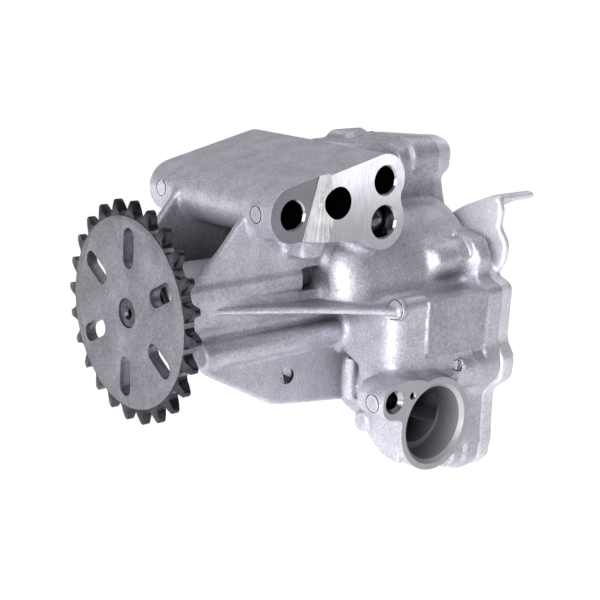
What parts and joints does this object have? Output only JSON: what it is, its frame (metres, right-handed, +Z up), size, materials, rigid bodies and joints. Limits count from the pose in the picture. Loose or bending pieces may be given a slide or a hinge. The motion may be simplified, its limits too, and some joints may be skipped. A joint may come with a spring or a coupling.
{
  "type": "engine oil pump",
  "caption": "Chain driven external gear oil pump: die cast housing with a bolt arm, drive sprocket, suction port, relief valve and rear cover.",
  "frame": {"origin": "on the drive shaft's axis, in the middle of the sprocket's thickness", "axes": "+X along the drive shaft from the sprocket to the rear cover, +Y to the crankcase side that the mounting sleeves enter, -Y to the sump side with the suction port, +Z up across both gears"},
  "size_m": [0.1418, 0.0878, 0.1105],
  "materials": {
    "cast_aluminium": "shot blasted die casting",
    "cover_aluminium": "shot blasted die casting",
    "sprocket_steel": "sintered, hardened",
    "shaft_steel": "ground",
    "sintered_steel": "sintered",
    "bearing_bronze": "bored",
    "washer_steel": "ground",
    "plated_steel": "zinc plated",
    "seal_copper": "soft annealed",
    "spring_steel": "drawn wire",
    "ball_steel": "ground ball"
  },
  "bodies": {
    "housing": {"pump_housing": "cast_aluminium", "rear_cover": "cover_aluminium", "front_bush": "bearing_bronze", "chamber_bush": "bearing_bronze", "cover_bush": "bearing_bronze", "idler_shaft": "shaft_steel", "thrust_washer": "washer_steel", "relief_plug": "plated_steel", "plug_seal_ring": "seal_copper", "relief_spring": "spring_steel", "gallery_ball": "ball_steel", "mounting_sleeves": "plated_steel", "cover_screws": "plated_steel", "dowel_pins": "shaft_steel"},
    "drive_rotor": {"drive_sprocket": "sprocket_steel", "drive_shaft": "shaft_steel", "gear_key": "shaft_steel", "drive_gear": "sintered_steel"},
    "driven_rotor": {"driven_gear": "sintered_steel", "driven_gear_bush": "bearing_bronze"},
    "relief_valve_piston": {"relief_piston": "shaft_steel"}
  },
  "joints": [
    {"name": "drive_spin", "type": "hinge", "parent": "housing", "child": "drive_rotor", "pos_m": [0, 0, 0], "axis": [1, 0, 0], "continuous": true},
    {"name": "driven_spin", "type": "hinge", "parent": "housing", "child": "driven_rotor", "pos_m": [0, 0, -0.03], "axis": [1, 0, 0], "continuous": true},
    {"name": "relief_slide", "type": "slide", "parent": "housing", "child": "relief_valve_piston", "axis": [-1, 0, 0], "range_m": [0, 0.005], "stiffness_N_per_m": 4000, "springref_m": -0.012, "deforming": ["relief_spring"]}
  ],
  "couplings": [
    {"joint": "driven_spin", "follows": "drive_spin", "ratio": -1}
  ]
}
